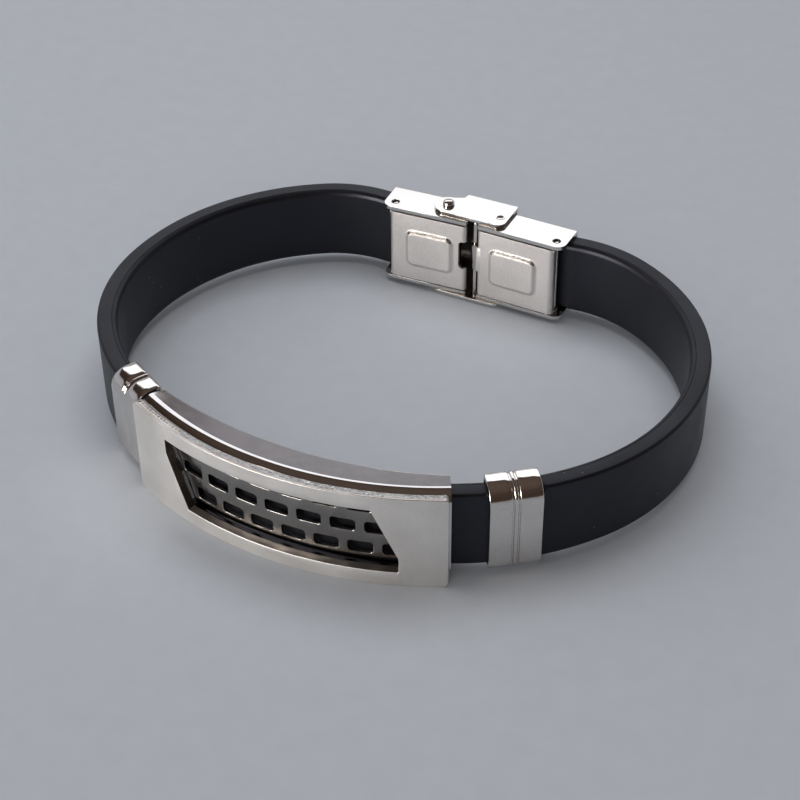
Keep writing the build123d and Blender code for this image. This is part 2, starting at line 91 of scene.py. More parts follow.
# Front plate, sleeve and pierced sheet
PLATE_RADIUS = 43.0
PLATE_LENGTH = 40.6
PLATE_THICKNESS = 1.05
PLATE_HEIGHT = PLATE_HIGH.z - PLATE_LOW.z
PLATE_CORNER = 0.6
PLATE_EDGE = 0.07
PLATE_SLICE = 0.12
PLATE_DEPTH_SLICE = 0.13
SAWN_FROM = 0.16
SAWN_DEPTH = 0.07
SAWN_TEAR = 0.05
SAWN_GRAIN = 0.04
BEADS_END = -12.2
BEAD_PITCH = 0.52
BEAD_LINE = -0.3
BEAD_WIDTH = 0.13
BEAD_HEIGHT = 0.1
BEAD_BED = 0.09
WINDOW_LONG = 29.2
WINDOW_SHORT = 23.2
WINDOW_HEIGHT = 8.6
WINDOW_CLIP = 1.95
WINDOW_SHIFT = 0.3
SLEEVE_WINDOW_ROOM = 0.15
HOUSING_HEIGHT = 11.4
HOUSING_WALL = 0.4
HOUSING_PAST_PLATE = 0.3
HOUSING_LEFT_DEPTH = 3.5
HOUSING_MIDDLE_DEPTH = 5.1
HOUSING_RIGHT_DEPTH = 4.05
HOUSING_TOP_LIFT = 0.4
HOUSING_TOP_FOLD = 1.5
HOUSING_BOTTOM_FOLD = 1.1
HOUSING_REAR_FOLD = 0.45
HOUSING_GAP = 0.05
HOUSING_LEFT_SLOPE = 0.16
HOUSING_RIGHT_SLOPE = 0.14
SHEET_LENGTH = 31.0
SHEET_HEIGHT = 8.3
SHEET_THICKNESS = 0.35
SHEET_LIFT = 0.45
SHEET_SHIFT = 0.3
HOLE_WIDTH = 2.85
HOLE_HEIGHT = 1.5
HOLE_CORNER = 0.4
HOLE_PITCH = 3.88
ROW_PITCH = 2.95
SHEET_ROOM = 0.1
SHEET_RIM = 0.09

# Keepers
KEEPER_LENGTH = 5.9
KEEPER_WALL = 0.4
KEEPER_ROOM = 0.22
KEEPER_TOP_ROUND = 2.25
KEEPER_BOTTOM_ROUND = 1.1
KEEPER_REAR_ROUND = 0.55
KEEPER_GROOVE = 0.2
KEEPER_GROOVE_CUT = 0.16
KEEPER_BEAD = 0.46
KEEPER_BEAD_RISE = 0.05
KEEPER_RIM = 0.1
KEEPER_CROWN = 0.012
STRAP_SQUEEZED_ROUND = 1.6
SQUEEZE_FROM = 0.5
SQUEEZE_REACH = 0.9
SQUEEZE_IN_SLEEVE = 1.6
LEFT_KEEPER_FROM_PLATE = 1.1
RIGHT_KEEPER_FROM_PLATE = 4.3

# Clasp
CLASP_X = -0.6
CLASP_GAP = 2.0
BOX_LENGTH = 11.8
BOX_BACK_WALL = 0.4
BOX_BACK_Y = LINK_HIGH.y - 0.75
STRAP_TO_BACK_WALL = 0.03
LEAN = {"left": math.radians(3.0), "right": math.radians(-1.5)}
SIGN = {"left": -1, "right": 1}
LID_FACE_Y = -5.0
LID_THICKNESS = 0.4
LID_LENGTH = 10.75
LID_HALF_HEIGHT = 4.9
LID_END_FOLD = 0.75
LID_GAP_FOLD = 0.5
LID_COLUMNS = 84
LID_ROWS = 100
LID_EDGE = 0.09
FOLD_STEPS = 7
PAD_X = 5.05
PAD_LENGTH = 6.9
PAD_HEIGHT = 5.7
PAD_RISE = 0.34
PAD_SLOPE = 0.65
PAD_CORNER = 1.2
NOTCH_DEPTH = 1.0
NOTCH_HEIGHT = 4.1
NOTCH_CORNER = 0.5
NOTCH_LIFT = 0.5
PIN_X = 10.4
PIN_Y = -3.55
PIN_RADIUS = 0.38
PIN_DOME = 0.24
PIN_FIT = 0.41
EAR = 0.62
EAR_THICKNESS = 0.3
EAR_INSET = 0.01
HOOK_HEIGHT = 3.6
HOOK_THICKNESS = 0.24
HOOK_START = 0.45
HOOK_END = -1.25
HOOK_DEPTH = 0.92
HOOK_BEND = 1.8
HOOK_TIP = 0.2
BAR_SHIFT = 0.15
BAR_RADIUS = 0.33
BOX_EDGE = 0.15
LEVER_EDGE = 0.13
LOWER_EAR_REACH = 0.9
RIVET_SHANK = 0.45
RIVET_FOOT = 0.1
RIVET_CHAMFER = 0.03
RIVET_FOOT_CHAMFER = 0.08
RIVET_GAP = 0.025


# Plan geometry: a station is a point in plan with the heading of the strap there
def direction(heading):
    return Vector((math.cos(heading), math.sin(heading)))


def inward(heading):
    return Vector((-math.sin(heading), math.cos(heading)))


def turned(station, radius, angle):
    point, heading = station
    centre = point + inward(heading) * radius
    return centre - inward(heading + angle) * radius, heading + angle


def wrapped(angle):
    return (angle + math.pi) % (2 * math.pi) - math.pi


def middle_station(start, end, share=1.0):
    """The station where two tangent arcs meet on the way from start to end."""
    p, p_heading = start
    q, q_heading = end
    p_way, q_way = direction(p_heading), direction(q_heading)
    chord = q - p
    both = chord.dot(p_way * share + q_way)
    spread = 2 * share * (1 - p_way.dot(q_way))
    reach = (-both + math.sqrt(both * both + spread * chord.dot(chord))) / spread
    point = (p + q * share + (p_way - q_way) * share * reach) / (1 + share)
    to_point = math.atan2((point - p).y, (point - p).x)
    return point, p_heading + 2 * wrapped(to_point - p_heading)


def between(start, end, step):
    """Stations along the arc from start to end, start left out."""
    turn = wrapped(end[1] - start[1])
    length = (end[0] - start[0]).length
    count = max(1, math.ceil(length / step))
    if abs(turn) < 1e-5:
        return [(start[0].lerp(end[0], i / count), start[1]) for i in range(1, count + 1)]
    radius = length / (2 * math.sin(turn / 2))
    return [turned(start, radius, turn * i / count) for i in range(1, count + 1)]


def path(stations, step):
    found = [stations[0]]
    for start, end in zip(stations, stations[1:]):
        found += between(start, end, step)
    return found


def along(start, end, distance):
    """The station this far along an arc from start, or back from end if negative."""
    turn = wrapped(end[1] - start[1])
    radius = (end[0] - start[0]).length / (2 * math.sin(turn / 2))
    base = start if distance > 0 else end
    return turned(base, radius, distance / radius)


def box_point(side, x, y):
    """A point of a clasp box in plan: x leads away from the gap, y = 0 is its back face."""
    sign = SIGN[side]
    lean = LEAN[side]
    corner = Vector((CLASP_X + sign * CLASP_GAP / 2, BOX_BACK_Y))
    return corner + direction(lean) * (sign * x) + inward(lean) * y


def box_station(side, reach):
    point = box_point(side, reach, -BOX_BACK_WALL - STRAP_TO_BACK_WALL)
    return point, math.pi + LEAN[side]


PLATE_CENTRE_Y = PLATE_LOW.y + PLATE_RADIUS
PLATE_BACK_RADIUS = PLATE_RADIUS - PLATE_THICKNESS
PLATE_HALF_ANGLE = PLATE_LENGTH / 2 / PLATE_RADIUS


def plate_end(sign, depth, past):
    """A point this far behind the plate's back face and past its end."""
    radius = PLATE_BACK_RADIUS - depth
    angle = sign * (PLATE_HALF_ANGLE + past / PLATE_BACK_RADIUS)
    return Vector((radius * math.sin(angle), PLATE_CENTRE_Y - radius * math.cos(angle)))


def bow(left_depth, middle_depth, right_depth, past=0.0):
    """Three stations behind the plate: its left end, its middle and its right end."""
    middle = Vector((0, PLATE_LOW.y + PLATE_THICKNESS + middle_depth))
    left = plate_end(-1, left_depth, past)
    right = plate_end(1, right_depth, past)
    left_heading = 2 * math.atan2(middle.y - left.y, -left.x)
    right_heading = 2 * math.atan2(right.y - middle.y, right.x)
    return [(left, left_heading), (middle, 0.0), (right, right_heading)]


LEFT_PLATE, BEHIND_PLATE, RIGHT_PLATE = bow(STRAP_LEFT_DEPTH, STRAP_MIDDLE_DEPTH,
                                            STRAP_RIGHT_DEPTH)
LEFT_SIDE = (Vector((STRAP_LOW.x, LEFT_SIDE_Y)), 1.5 * math.pi)
RIGHT_SIDE = (Vector((STRAP_HIGH.x, RIGHT_SIDE_Y)), 0.5 * math.pi)
BEFORE_PLATE = middle_station(LEFT_SIDE, LEFT_PLATE)
AFTER_PLATE = middle_station(RIGHT_PLATE, RIGHT_SIDE)
LEFT_KEEPER = along(BEFORE_PLATE, LEFT_PLATE, -LEFT_KEEPER_FROM_PLATE - KEEPER_LENGTH / 2)
RIGHT_KEEPER = along(RIGHT_PLATE, AFTER_PLATE, RIGHT_KEEPER_FROM_PLATE + KEEPER_LENGTH / 2)


def strap_stations():
    """The strap's outer face all the way round, from the left box to the right box."""
    left_box = box_station("left", BOX_LENGTH)
    right_box = box_station("right", BOX_LENGTH)
    flare = math.radians(STRAP_FLARE)
    left_flare = turned(left_box, -FLARE_RADIUS, -flare)
    right_flare = turned(right_box, -FLARE_RADIUS, flare)
    return [
        box_station("left", BOX_LENGTH - STRAP_IN_BOX),
        left_box,
        left_flare,
        middle_station(left_flare, LEFT_SIDE, SHOULDER_SHARE),
        LEFT_SIDE,
        BEFORE_PLATE,
        LEFT_PLATE,
        BEHIND_PLATE,
        RIGHT_PLATE,
        AFTER_PLATE,
        RIGHT_SIDE,
        middle_station(RIGHT_SIDE, right_flare, 1 / SHOULDER_SHARE),
        right_flare,
        right_box,
        box_station("right", BOX_LENGTH - STRAP_IN_BOX),
    ]


# Mesh helpers
def rounded_outline(corners, steps=6):
    """A closed outline from corners of x, y and rounding radius, in order."""
    points = []
    for i, (x, y, radius) in enumerate(corners):
        here = Vector((x, y))
        back = (Vector(corners[i - 1][:2]) - here).normalized()
        on = (Vector(corners[(i + 1) % len(corners)][:2]) - here).normalized()
        if radius <= 0:
            points.append(here)
            continue
        half = back.angle(on) / 2
        centre = here + (back + on).normalized() * (radius / math.sin(half))
        start = here + back * (radius / math.tan(half)) - centre
        way = math.copysign(1, on.cross(back))
        turn = way * (math.pi - 2 * half)
        for step in range(steps + 1):
            angle = turn * step / steps
            spun = Vector((start.x * math.cos(angle) - start.y * math.sin(angle),
                           start.x * math.sin(angle) + start.y * math.cos(angle)))
            points.append(centre + spun)
    return points


def quarter_turn(steps):
    """Angles from nought to a right angle in even steps."""
    return [math.pi / 2 * i / steps for i in range(steps + 1)]


@contextmanager
def opened(mesh):
    """A mesh opened for edits, which are written back at the end."""
    shape = bmesh.new()
    shape.from_mesh(mesh)
    yield shape
    shape.to_mesh(mesh)
    shape.free()


def piece_of(name, mesh):
    made = bpy.data.objects.new(name, mesh)
    bpy.context.scene.collection.objects.link(made)
    return made


def mesh_piece(name, vertices, faces):
    """A mesh in the part's frame from points in millimetres, with its faces outwards."""
    mesh = bpy.data.meshes.new(name)
    mesh.from_pydata([Vector(v) * MM for v in vertices], [], faces)
    with opened(mesh) as shape:
        bmesh.ops.remove_doubles(shape, verts=shape.verts, dist=0.001 * MM)
        bmesh.ops.recalc_face_normals(shape, faces=shape.faces)
    return piece_of(name, mesh)


def skinned(name, rings, loop=False):
    """A skin over a row of closed rings, capped at its ends unless it is a loop."""
    count = len(rings[0])
    vertices = [point for ring in rings for point in ring]
    faces = []
    for i in range(len(rings) if loop else len(rings) - 1):
        near = i * count
        far = (i + 1) % len(rings) * count
        for j in range(count):
            k = (j + 1) % count
            faces.append((near + j, near + k, far + k, far + j))
    if not loop:
        faces.append(tuple(range(count)))
        faces.append(tuple(range((len(rings) - 1) * count, len(rings) * count)))
    return mesh_piece(name, vertices, faces)


def modified(piece, kind, **settings):
    """Applies one modifier to a piece's mesh."""
    modifier = piece.modifiers.new(kind.lower(), kind)
    for name, value in settings.items():
        setattr(modifier, name, value)
    graph = bpy.context.evaluated_depsgraph_get()
    mesh = bpy.data.meshes.new_from_object(piece.evaluated_get(graph))
    piece.modifiers.clear()
    piece.data = mesh
    return piece


def broken_edges(piece, width, segments=2, angle=35, clamped=True):
    """Rounds a piece's sharp edges a little, as tumbling or polishing leaves them."""
    return modified(piece, "BEVEL", width=width * MM, segments=segments,
                    limit_method="ANGLE", angle_limit=math.radians(angle),
                    use_clamp_overlap=clamped, miter_outer="MITER_ARC")


def shaded(piece, angle=35):
    """Smooth shading with normals led by the large faces."""
    piece.data.shade_smooth()
    piece.data.set_sharp_from_angle(angle=math.radians(angle))
    return modified(piece, "WEIGHTED_NORMAL", keep_sharp=True, weight=60)


def cut(piece, cutter, operation="DIFFERENCE"):
    """A boolean with another piece, which is then deleted."""
    modified(piece, "BOOLEAN", object=cutter, operation=operation, solver="EXACT")
    bpy.data.objects.remove(cutter)
    return piece


def sliced(mesh, axis, start, end, step):
    """Cuts a flat mesh into strips across an axis so that it can be bent."""
    count = round((end - start) / step)
    normal = Vector((0, 0, 0))
    normal[axis] = 1
    with opened(mesh) as shape:
        for i in range(1, count):
            place = normal * (start + (end - start) * i / count) * MM
            geometry = shape.verts[:] + shape.edges[:] + shape.faces[:]
            bmesh.ops.bisect_plane(shape, geom=geometry, dist=1e-8, plane_co=place,
                                   plane_no=normal)


def blank(name, outlines, thickness, edge):
    """A flat blank in XY with rounded rims. Outlines inside the first one are holes."""
    curve = bpy.data.curves.new(name, "CURVE")
    curve.dimensions = "2D"
    curve.fill_mode = "BOTH"
    curve.extrude = (thickness / 2 - edge) * MM
    curve.bevel_depth = edge * MM
    curve.bevel_resolution = 2
    curve.offset = -edge * MM
    for outline in outlines:
        spline = curve.splines.new("POLY")
        spline.points.add(len(outline) - 1)
        for point, place in zip(spline.points, outline):
            point.co = (place.x * MM, place.y * MM, 0, 1)
        spline.use_cyclic_u = True
    source = piece_of(name + "_curve", curve)
    graph = bpy.context.evaluated_depsgraph_get()
    mesh = bpy.data.meshes.new_from_object(source.evaluated_get(graph))
    bpy.data.objects.remove(source)
    with opened(mesh) as shape:
        bmesh.ops.remove_doubles(shape, verts=shape.verts, dist=0.002 * MM)
        bmesh.ops.recalc_face_normals(shape, faces=shape.faces)
    return piece_of(name, mesh)


def reshaped(piece, place):
    """Moves every point of a piece by a function of its place in millimetres."""
    for vertex in piece.data.vertices:
        vertex.co = Vector(place(vertex.co / MM)) * MM
    with opened(piece.data) as shape:
        bmesh.ops.recalc_face_normals(shape, faces=shape.faces)
    return piece


def on_plate(radius):
    """Bends a flat blank, its +Z face outwards, round the plate's centre of curve."""
    def place(point):
        angle = point.x / PLATE_RADIUS
        reach = radius + point.z
        return (reach * math.sin(angle), PLATE_CENTRE_Y - reach * math.cos(angle),
                MIDDLE_Z + point.y)
    return place


def copy_of(node, name):
    """A merged copy of a frame node with its flat faces made whole again."""
    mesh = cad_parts[node].data.copy()
    with opened(mesh) as shape:
        bmesh.ops.remove_doubles(shape, verts=shape.verts, dist=0.001 * MM)
        bmesh.ops.dissolve_limit(shape, angle_limit=math.radians(0.5), verts=shape.verts,
                                 edges=shape.edges)
    mesh.materials.clear()
    return piece_of(name, mesh)


def dressed(piece, material, body, slot, *nodes):
    """Gives a piece its finish and its body, and hides the frame nodes that it stands for."""
    if not piece.data.materials:
        piece.data.materials.append(material)
    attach(piece, body)
    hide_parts(*nodes)
    return piece


def finished_by_face(piece, finishes, choose):
    """Gives each face the finish chosen from its middle in millimetres and its normal."""
    piece.data.materials.clear()
    for finish in finishes:
        piece.data.materials.append(finish)
    for face in piece.data.polygons:
        face.material_index = finishes.index(choose(face.center / MM, face.normal))


# Materials
def linear(hex_colour):
    """An sRGB hex colour as the linear colour that shaders take."""
    found = []
    for start in (1, 3, 5):
        value = int(hex_colour[start:start + 2], 16) / 255
        found.append(value / 12.92 if value <= 0.04045 else ((value + 0.055) / 1.055) ** 2.4)
    return (*found, 1.0)


def add(tree, kind, settings=None, inputs=None):
    """Adds a node with its settings, and its inputs as values or linked sockets.

    Inputs go by name, or by number where names repeat.
    """
    made = tree.nodes.new(kind)
    for name, value in (settings or {}).items():
        setattr(made, name, value)
    for name, value in (inputs or {}).items():
        if isinstance(value, bpy.types.NodeSocket):
            tree.links.new(value, made.inputs[name])
        else:
            made.inputs[name].default_value = value
    return made


def maths(tree, operation, *values):
    """One step of arithmetic over numbers or sockets."""
    return add(tree, "ShaderNodeMath", {"operation": operation}, dict(enumerate(values))).outputs[0]


def clouds(tree, place, size, detail, roughness=0.5):
    """Noise whose clouds are about this many millimetres wide."""
    return add(tree, "ShaderNodeTexNoise", inputs={
        "Vector": place, "Scale": 1 / (size * MM), "Detail": detail,
        "Roughness": roughness}).outputs["Fac"]


def cells(tree, place, size):
    """Cells about this many millimetres wide, with a colour each."""
    return add(tree, "ShaderNodeTexVoronoi", inputs={
        "Vector": place, "Scale": 1 / (size * MM), "Randomness": 1.0}).outputs


def bumps(tree, height, depth):
    """A relief this many millimetres deep."""
    return add(tree, "ShaderNodeBump", inputs={
        "Height": height, "Strength": 1.0, "Distance": depth * MM}).outputs[0]


def new_material(name):
    material = bpy.data.materials.new(name)
    material.use_nodes = True
    material.node_tree.nodes.clear()
    tree = material.node_tree
    coordinates = add(tree, "ShaderNodeTexCoord")
    return material, tree, coordinates.outputs["Object"]


def finished(material, tree, shader):
    output = add(tree, "ShaderNodeOutputMaterial")
    tree.links.new(shader.outputs[0], output.inputs["Surface"])
    return material


def ramp(tree, factor, stops):
    """A colour ramp over hex stops, each a place and a colour."""
    made = add(tree, "ShaderNodeValToRGB", inputs={"Fac": factor})
    elements = made.color_ramp.elements
    while len(elements) < len(stops):
        elements.new(0.5)
    for element, (place, colour) in zip(elements, stops):
        element.position = place
        element.color = linear(colour)
    return made.outputs["Color"]


def steel(name, dull, bright, rough_low, rough_high, grain, grain_depth, stretch=(1, 1, 1)):
    """Stainless steel with a grain of this size in millimetres, stretched along its polish."""
    material, tree, place = new_material(name)
    scaled = add(tree, "ShaderNodeMapping", inputs={"Vector": place, "Scale": stretch})
    fine = clouds(tree, scaled.outputs[0], grain, 2.0)
    broad = maths(tree, "MULTIPLY", clouds(tree, place, 6, 3.0), 0.5)
    mixed = maths(tree, "MULTIPLY_ADD", fine, 0.5, broad)
    colour = ramp(tree, mixed, [(0.35, dull), (0.65, bright)])
    rough = add(tree, "ShaderNodeMapRange", inputs={
        "Value": mixed, "From Min": 0.3, "From Max": 0.7, "To Min": rough_low,
        "To Max": rough_high})
    shader = add(tree, "ShaderNodeBsdfPrincipled", inputs={
        "Base Color": colour, "Metallic": 1.0, "Roughness": rough.outputs[0],
        "Normal": bumps(tree, fine, grain_depth)})
    return finished(material, tree, shader)


def silicone_rubber():
    """Moulded silicone rubber: matte black from a blasted mould, with a few dust specks."""
    material, tree, place = new_material("silicone_rubber_moulded_matte")
    haze = clouds(tree, place, 7, 4.0, 0.6)
    body = ramp(tree, haze, [(0.3, "#050507"), (0.7, "#0a0a0d")])
    dust = cells(tree, place, 1.5)
    chosen = add(tree, "ShaderNodeSeparateColor", inputs={"Color": dust["Color"]})
    rare = maths(tree, "GREATER_THAN", chosen.outputs[0], 0.72)
    small = maths(tree, "LESS_THAN", dust["Distance"], 0.045)
    colour = add(tree, "ShaderNodeMix", {"data_type": "RGBA"}, {
        0: maths(tree, "MULTIPLY", rare, small), 6: body, 7: linear("#8a8a88")})
    rough = add(tree, "ShaderNodeMapRange", inputs={
        "Value": haze, "From Min": 0.3, "From Max": 0.7, "To Min": 0.42, "To Max": 0.52})
    shader = add(tree, "ShaderNodeBsdfPrincipled", inputs={
        "Base Color": colour.outputs[2], "Roughness": rough.outputs[0], "IOR": 1.5,
        "Specular Tint": linear("#e2e6fa"),
        "Normal": bumps(tree, clouds(tree, place, 0.18, 3.0), 0.012)})
    return finished(material, tree, shader)


def sawn_steel():
    """The plate's cut edge: torn grains that sparkle white, left unpolished."""
    material, tree, place = new_material("stainless_steel_sawn_edge")
    grains = cells(tree, place, 0.22)
    colour = ramp(tree, clouds(tree, place, 0.12, 3.0), [(0.3, "#c9c6c1"), (0.6, "#ffffff")])
    shader = add(tree, "ShaderNodeBsdfPrincipled", inputs={
        "Base Color": colour, "Metallic": 1.0, "Roughness": 0.34,
        "Normal": bumps(tree, grains["Distance"], 0.12)})
    return finished(material, tree, shader)


# Every grain, speck and hair line is drawn coarser than real, or it wouldn't show from here
RUBBER = silicone_rubber()
SAWN = sawn_steel()
# The plate's other cut edges were filed and rubbed smooth, with hair lines along them
EDGE_STEEL = steel("stainless_steel_filed_edge", "#b4aca4", "#dad5d0", 0.28, 0.36, 0.16, 0.0006,
                   (0.06, 0.06, 1))
# The window's reveals that don't face up are painted dark brown: painted shade standing in for the
# dark things they reflect
REVEAL_PAINTED_SHADE_STEEL = steel("stainless_steel_reveal_painted_shade", "#5f564f", "#7d736a", 0.3, 0.4, 0.2, 0.001)
# The plate's face is bead blasted and then lightly brushed, so that it is soft and grainy
PLATE_STEEL = steel("stainless_steel_bead_blasted", "#c8c6c3", "#dbd9d6", 0.46, 0.54, 0.11, 0.004)
# The sleeve is buffed nearly to a mirror and shows the room in long soft bands
HOUSING_STEEL = steel("stainless_steel_buffed", "#c2bfbf", "#cdc9c8", 0.05, 0.08, 0.35, 0.0003,
                      (0.25, 0.25, 1))
# The keepers are polished bright, with hair-fine wheel marks round them
KEEPER_STEEL = steel("stainless_steel_mirror_polished", "#cfcac6", "#dedbd8", 0.07, 0.13, 0.25,
                     0.0006)
# The lids are pressed from satin sheet and keep its fine short grain
LID_STEEL = steel("stainless_steel_satin_sheet", "#ddd8d4", "#ebe7e3", 0.44, 0.52, 0.16, 0.003,
                  (1, 1, 0.4))
# On the pad's upper slope, which faces up, the steel is rough and sparkles, and its colour is
# painted dark as shade
PAD_SLOPE_SHADED_STEEL = steel("stainless_steel_rough_pad_slope_painted_shade", "#262220", "#b9b5b1", 0.24, 0.5, 0.24,
                        0.03)
# The boxes and the lever are tumbled, so their flat walls are bright and a little soft
BOX_STEEL = steel("stainless_steel_tumbled", "#d3d0cc", "#e2dfdc", 0.10, 0.16, 0.2, 0.001)
# The pierced sheet is plain rolled steel, greyer than the plate
SHEET_STEEL = steel("stainless_steel_rolled_sheet", "#817e7b", "#969390", 0.20, 0.28, 0.14, 0.002)


# Strap
def strap_ring(station, sway, squeeze):
    """The strap's section: depth inwards from its outer face, and height."""
    half = STRAP_WIDTH / 2
    line = PARTING_DEPTH
    upper = [
        (0, half, STRAP_OUTER_ROUND + squeeze * (STRAP_SQUEEZED_ROUND - STRAP_OUTER_ROUND)),
        (line, half, PARTING_ROUND),
        (line + PARTING_WIDTH / 2, half - PARTING_CUT, 0.02),
        (line + PARTING_WIDTH, half - PARTING_STEP, PARTING_ROUND),
        (STRAP_THICKNESS - INNER_BAND, half - INNER_DROP, INNER_ROUND),
        (STRAP_THICKNESS, half - INNER_FACE_DROP, INNER_FACE_ROUND),
    ]
    lower = [(x, -y, radius) for x, y, radius in reversed(upper)]
    lower[-1] = (0, -half, STRAP_OUTER_ROUND)
    point, heading = station
    ring = []
    for place in rounded_outline(upper + lower, 5):
        plan = point + inward(heading) * place.x
        ring.append((plan.x, plan.y, MIDDLE_Z + place.y + sway * place.y / half))
    return ring


def squeezed(point):
    """How far the keepers and the sleeve press the strap's upper outer edge round, 0 to 1."""
    beyond = [(point - keeper[0]).length - KEEPER_LENGTH / 2
              for keeper in (LEFT_KEEPER, RIGHT_KEEPER)]
    beyond.append((point - LEFT_PLATE[0]).length - SQUEEZE_IN_SLEEVE)
    share = min(max((SQUEEZE_FROM - min(beyond)) / SQUEEZE_REACH, 0), 1)
    return share * share * (3 - 2 * share)


def make_strap():
    """The strap all the way round, its edges swaying a hair's breadth as moulded rubber does."""
    rings = []
    for i, station in enumerate(path(strap_stations(), STRAP_STEP)):
        sway = STRAP_SWAY * noise.noise(Vector((i * SWAY_PER_STEP, 0.3, 0.7)))
        rings.append(strap_ring(station, min(sway, 0), squeezed(station[0])))
    strap = shaded(skinned("silicone_strap", rings), 40)
    return dressed(strap, RUBBER, "bracelet", "silicone", "strap")


# Front plate
PLATE_RIM = PLATE_HEIGHT / 2 - PLATE_EDGE * 1.01


def window_corners(step=0.0):
    """The slanted window's corners, moved out by this step on every side."""
    long_end, short_end = WINDOW_LONG / 2 + step, WINDOW_SHORT / 2 + step
    top = WINDOW_HEIGHT / 2 + step
    clip = top - WINDOW_CLIP
    corners = [(-long_end, top, 0.1), (-long_end, clip, 0.3), (-short_end, -top, 0.12),
               (long_end, -top, 0.1), (long_end, -clip, 0.3), (short_end, top, 0.12)]
    return [(x + WINDOW_SHIFT, y, radius) for x, y, radius in corners]


def saw_depth(x, z):
    """How deep the saw tore the plate's top edge: beads at the left end, then a rough band."""
    if x < BEADS_END:
        across = math.exp(-((z - BEAD_LINE) / BEAD_WIDTH) ** 2)
        swell = (0.5 + 0.5 * math.cos(2 * math.pi * x / BEAD_PITCH)) ** 1.5
        return BEAD_BED - BEAD_HEIGHT * across * swell
    tear = noise.noise(Vector((x * 4.1, z * 3.0, 1.7)))
    fine = noise.noise(Vector((x * 1.3, z * 6.0, 5.1)))
    return SAWN_DEPTH - SAWN_TEAR * tear - SAWN_GRAIN * fine


def plate_finish(place, normal):
    """Sawn or filed along the top edge, filed on the window's upward reveals, painted dark as shade
    on its other reveals, blasted everywhere else.
    """
    if place.y > PLATE_RIM - 0.1 and normal.y > 0.6:
        beads = place.x < BEADS_END and saw_depth(place.x, place.z) > 0.05
        return EDGE_STEEL if beads or place.z > SAWN_FROM else SAWN
    inside = abs(place.x) < PLATE_LENGTH / 2 - 1 and abs(place.y) < PLATE_HEIGHT / 2 - 1
    if inside and abs(normal.z) < 0.5:
        # reveals that don't face up get painted shade, darker than the steel really is
        return EDGE_STEEL if normal.y > 0.5 else REVEAL_PAINTED_SHADE_STEEL
    return PLATE_STEEL


def make_front_plate():
    half_length, half_height = PLATE_LENGTH / 2, PLATE_HEIGHT / 2
    corners = [(x * half_length, y * half_height, PLATE_CORNER) for x, y in CORNERS]
    outlines = [rounded_outline(corners), rounded_outline(window_corners(), 3)]
    plate = blank("curved_front_plate", outlines, PLATE_THICKNESS, PLATE_EDGE)
    sliced(plate.data, 0, -half_length, half_length, PLATE_SLICE)
    sliced(plate.data, 2, -PLATE_THICKNESS / 2, PLATE_THICKNESS / 2, PLATE_DEPTH_SLICE)
    for vertex in plate.data.vertices:
        place = vertex.co / MM
        inner = abs(place.x) < half_length - PLATE_CORNER
        if place.y > PLATE_RIM and inner and place.z < SAWN_FROM:
            vertex.co.y -= saw_depth(place.x, place.z) * MM
    finished_by_face(plate, [PLATE_STEEL, SAWN, EDGE_STEEL, REVEAL_PAINTED_SHADE_STEEL], plate_finish)
    reshaped(plate, on_plate(PLATE_RADIUS - PLATE_THICKNESS / 2))
    return dressed(shaded(plate), PLATE_STEEL, "bracelet", "satin_steel", "front_plate")


# Sleeve behind the plate
def evenly(stations, count=36):
    """The same count of stations along each of two arcs, whatever their lengths."""
    start, middle, end = stations
    steps = count - 0.5
    first = between(start, middle, (middle[0] - start[0]).length / steps)
    second = between(middle, end, (end[0] - middle[0]).length / steps)
    return [start] + first + second


def housing_rings(inset, overrun):
    """Closed rings along the sleeve, each a rounded section across it."""
    gap = HOUSING_GAP + inset
    front = bow(gap, gap, gap, HOUSING_PAST_PLATE)
    rear = bow(HOUSING_LEFT_DEPTH - inset, HOUSING_MIDDLE_DEPTH - inset,
               HOUSING_RIGHT_DEPTH - inset, HOUSING_PAST_PLATE)
    front_line, rear_line = evenly(front), evenly(rear)
    if overrun:
        for line in (front_line, rear_line):
            line.insert(0, (line[0][0] - direction(line[0][1]) * overrun, line[0][1]))
            line.append((line[-1][0] + direction(line[-1][1]) * overrun, line[-1][1]))
    half = HOUSING_HEIGHT / 2 - inset
    top_fold = HOUSING_TOP_FOLD - inset
    bottom_fold = HOUSING_BOTTOM_FOLD - inset
    rear_fold = max(HOUSING_REAR_FOLD - inset, 0.05)
    rings = []
    for i, ((near, _), (far, _)) in enumerate(zip(front_line, rear_line)):
        share = (i / (len(front_line) - 1)) ** 2
        slope = HOUSING_LEFT_SLOPE + share * (HOUSING_RIGHT_SLOPE - HOUSING_LEFT_SLOPE)
        depth = (far - near).length
        way = (far - near) / depth
        rear_half = half - depth * slope
        section = rounded_outline([(0, -half, bottom_fold), (depth, -rear_half, rear_fold),
                                   (depth, rear_half + HOUSING_TOP_LIFT, rear_fold),
                                   (0, half + HOUSING_TOP_LIFT, top_fold)], 24)
        rings.append([(*(near + way * p.x), MIDDLE_Z + p.y) for p in section])
    return rings


def make_housing():
    housing = skinned("plate_sleeve", housing_rings(0, 0))
    cut(housing, skinned("sleeve_hollow", housing_rings(HOUSING_WALL, 1.5)))
    outline = rounded_outline(window_corners(SLEEVE_WINDOW_ROOM), 3)
    window = blank("sleeve_window", [outline], 4.0, 0.01)
    sliced(window.data, 0, -PLATE_LENGTH / 2, PLATE_LENGTH / 2, 0.8)
    cut(housing, reshaped(window, on_plate(PLATE_BACK_RADIUS + 0.5)))
    return dressed(shaded(housing), HOUSING_STEEL, "bracelet", "polished_steel", "plate_housing")


